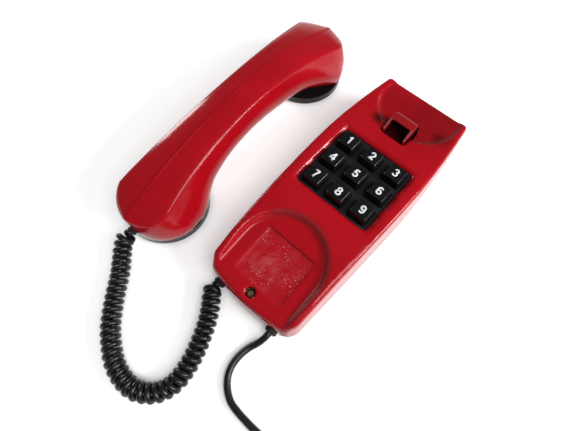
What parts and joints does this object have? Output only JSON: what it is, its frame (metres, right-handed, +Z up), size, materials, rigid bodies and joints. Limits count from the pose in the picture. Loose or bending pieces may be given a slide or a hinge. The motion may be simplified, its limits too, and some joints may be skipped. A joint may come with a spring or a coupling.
{
  "type": "push-button telephone",
  "caption": "compact desk or wall telephone with an arched base, sunken end pockets, push keys, a hinged hook lever and a handset on a coiled cord",
  "frame": {"origin": "centre of the base on the tabletop", "axes": "+X across the base to the line cord's side, +Y along the base to the ear end, +Z up; the handset lies at -X"},
  "size_m": [0.2621, 0.3077, 0.0515],
  "materials": {
    "red_gloss": "glossy moulded ABS, red",
    "black_gloss": "glossy moulded ABS, black",
    "black_matte": "matt moulded plastic, black",
    "black_rubber": "soft black rubber",
    "cord_black": "smooth PVC cord jacket, black",
    "silicone": "grey silicone mat",
    "board_green": "green lacquered laminate",
    "steel": "plain zinc-plated steel",
    "transformer": "varnished steel laminations",
    "capacitor": "sleeved aluminium can",
    "cream_plastic": "cream moulded plastic",
    "brass": "dull brass",
    "clear_plastic": "translucent moulded plastic"
  },
  "bodies": {
    "base": {"top_cover": "red_gloss", "base_plate": "black_matte", "rubber_feet": "black_rubber", "keypad_frame": "black_gloss", "dome_mat": "silicone", "main_board": "board_green", "board_screws": "steel", "tone_chip": "black_matte", "line_transformer": "transformer", "capacitors": "capacitor", "ballast_plate": "steel", "ringer": "black_matte", "terminal_block": "cream_plastic", "terminal_screws": "brass", "hook_pin": "steel", "hook_spring": "steel", "hook_switch": "black_matte", "cover_screw": "brass", "base_screws": "steel", "line_grommet": "black_rubber", "coil_cord_grommet": "black_rubber", "curly_cord": "cord_black", "line_cord": "cord_black", "line_cord_coil": "cord_black", "coil_tie": "black_rubber", "line_plug": "clear_plastic"},
    "hook_lever": {"hook_lever": "red_gloss"},
    "key_1": {"key_1": "black_gloss"},
    "key_2": {"key_2": "black_gloss"},
    "key_3": {"key_3": "black_gloss"},
    "key_4": {"key_4": "black_gloss"},
    "key_5": {"key_5": "black_gloss"},
    "key_6": {"key_6": "black_gloss"},
    "key_7": {"key_7": "black_gloss"},
    "key_8": {"key_8": "black_gloss"},
    "key_9": {"key_9": "black_gloss"},
    "handset": {"handset_shell": "red_gloss", "ear_cap": "black_gloss", "mouth_cap": "black_gloss", "receiver_capsule": "steel", "transmitter_capsule": "steel", "handset_grommet": "black_rubber"}
  },
  "joints": [
    {"name": "key_1_press", "type": "slide", "parent": "base", "child": "key_1", "axis": [0, 0, 1], "range_m": [-0.002, 0], "stiffness_N_per_m": 150, "springref_m": 0.002, "deforming": ["dome_mat"]},
    {"name": "key_2_press", "type": "slide", "parent": "base", "child": "key_2", "axis": [0, 0, 1], "range_m": [-0.002, 0], "stiffness_N_per_m": 150, "springref_m": 0.002, "deforming": ["dome_mat"]},
    {"name": "key_3_press", "type": "slide", "parent": "base", "child": "key_3", "axis": [0, 0, 1], "range_m": [-0.002, 0], "stiffness_N_per_m": 150, "springref_m": 0.002, "deforming": ["dome_mat"]},
    {"name": "key_4_press", "type": "slide", "parent": "base", "child": "key_4", "axis": [0, 0, 1], "range_m": [-0.002, 0], "stiffness_N_per_m": 150, "springref_m": 0.002, "deforming": ["dome_mat"]},
    {"name": "key_5_press", "type": "slide", "parent": "base", "child": "key_5", "axis": [0, 0, 1], "range_m": [-0.002, 0], "stiffness_N_per_m": 150, "springref_m": 0.002, "deforming": ["dome_mat"]},
    {"name": "key_6_press", "type": "slide", "parent": "base", "child": "key_6", "axis": [0, 0, 1], "range_m": [-0.002, 0], "stiffness_N_per_m": 150, "springref_m": 0.002, "deforming": ["dome_mat"]},
    {"name": "key_7_press", "type": "slide", "parent": "base", "child": "key_7", "axis": [0, 0, 1], "range_m": [-0.002, 0], "stiffness_N_per_m": 150, "springref_m": 0.002, "deforming": ["dome_mat"]},
    {"name": "key_8_press", "type": "slide", "parent": "base", "child": "key_8", "axis": [0, 0, 1], "range_m": [-0.002, 0], "stiffness_N_per_m": 150, "springref_m": 0.002, "deforming": ["dome_mat"]},
    {"name": "key_9_press", "type": "slide", "parent": "base", "child": "key_9", "axis": [0, 0, 1], "range_m": [-0.002, 0], "stiffness_N_per_m": 150, "springref_m": 0.002, "deforming": ["dome_mat"]},
    {"name": "hook_press", "type": "hinge", "parent": "base", "child": "hook_lever", "pos_m": [0, 0.043, 0.029], "axis": [1, 0, 0], "range_deg": [-20, 0], "stiffness_Nm_per_rad": 0.08, "springref_deg": 11.46, "deforming": ["hook_spring"]},
    {"name": "handset_lift", "type": "slide", "parent": "base", "child": "handset", "axis": [0, 0, 1], "range_m": [0, 0.12], "deforming": ["curly_cord"]}
  ]
}
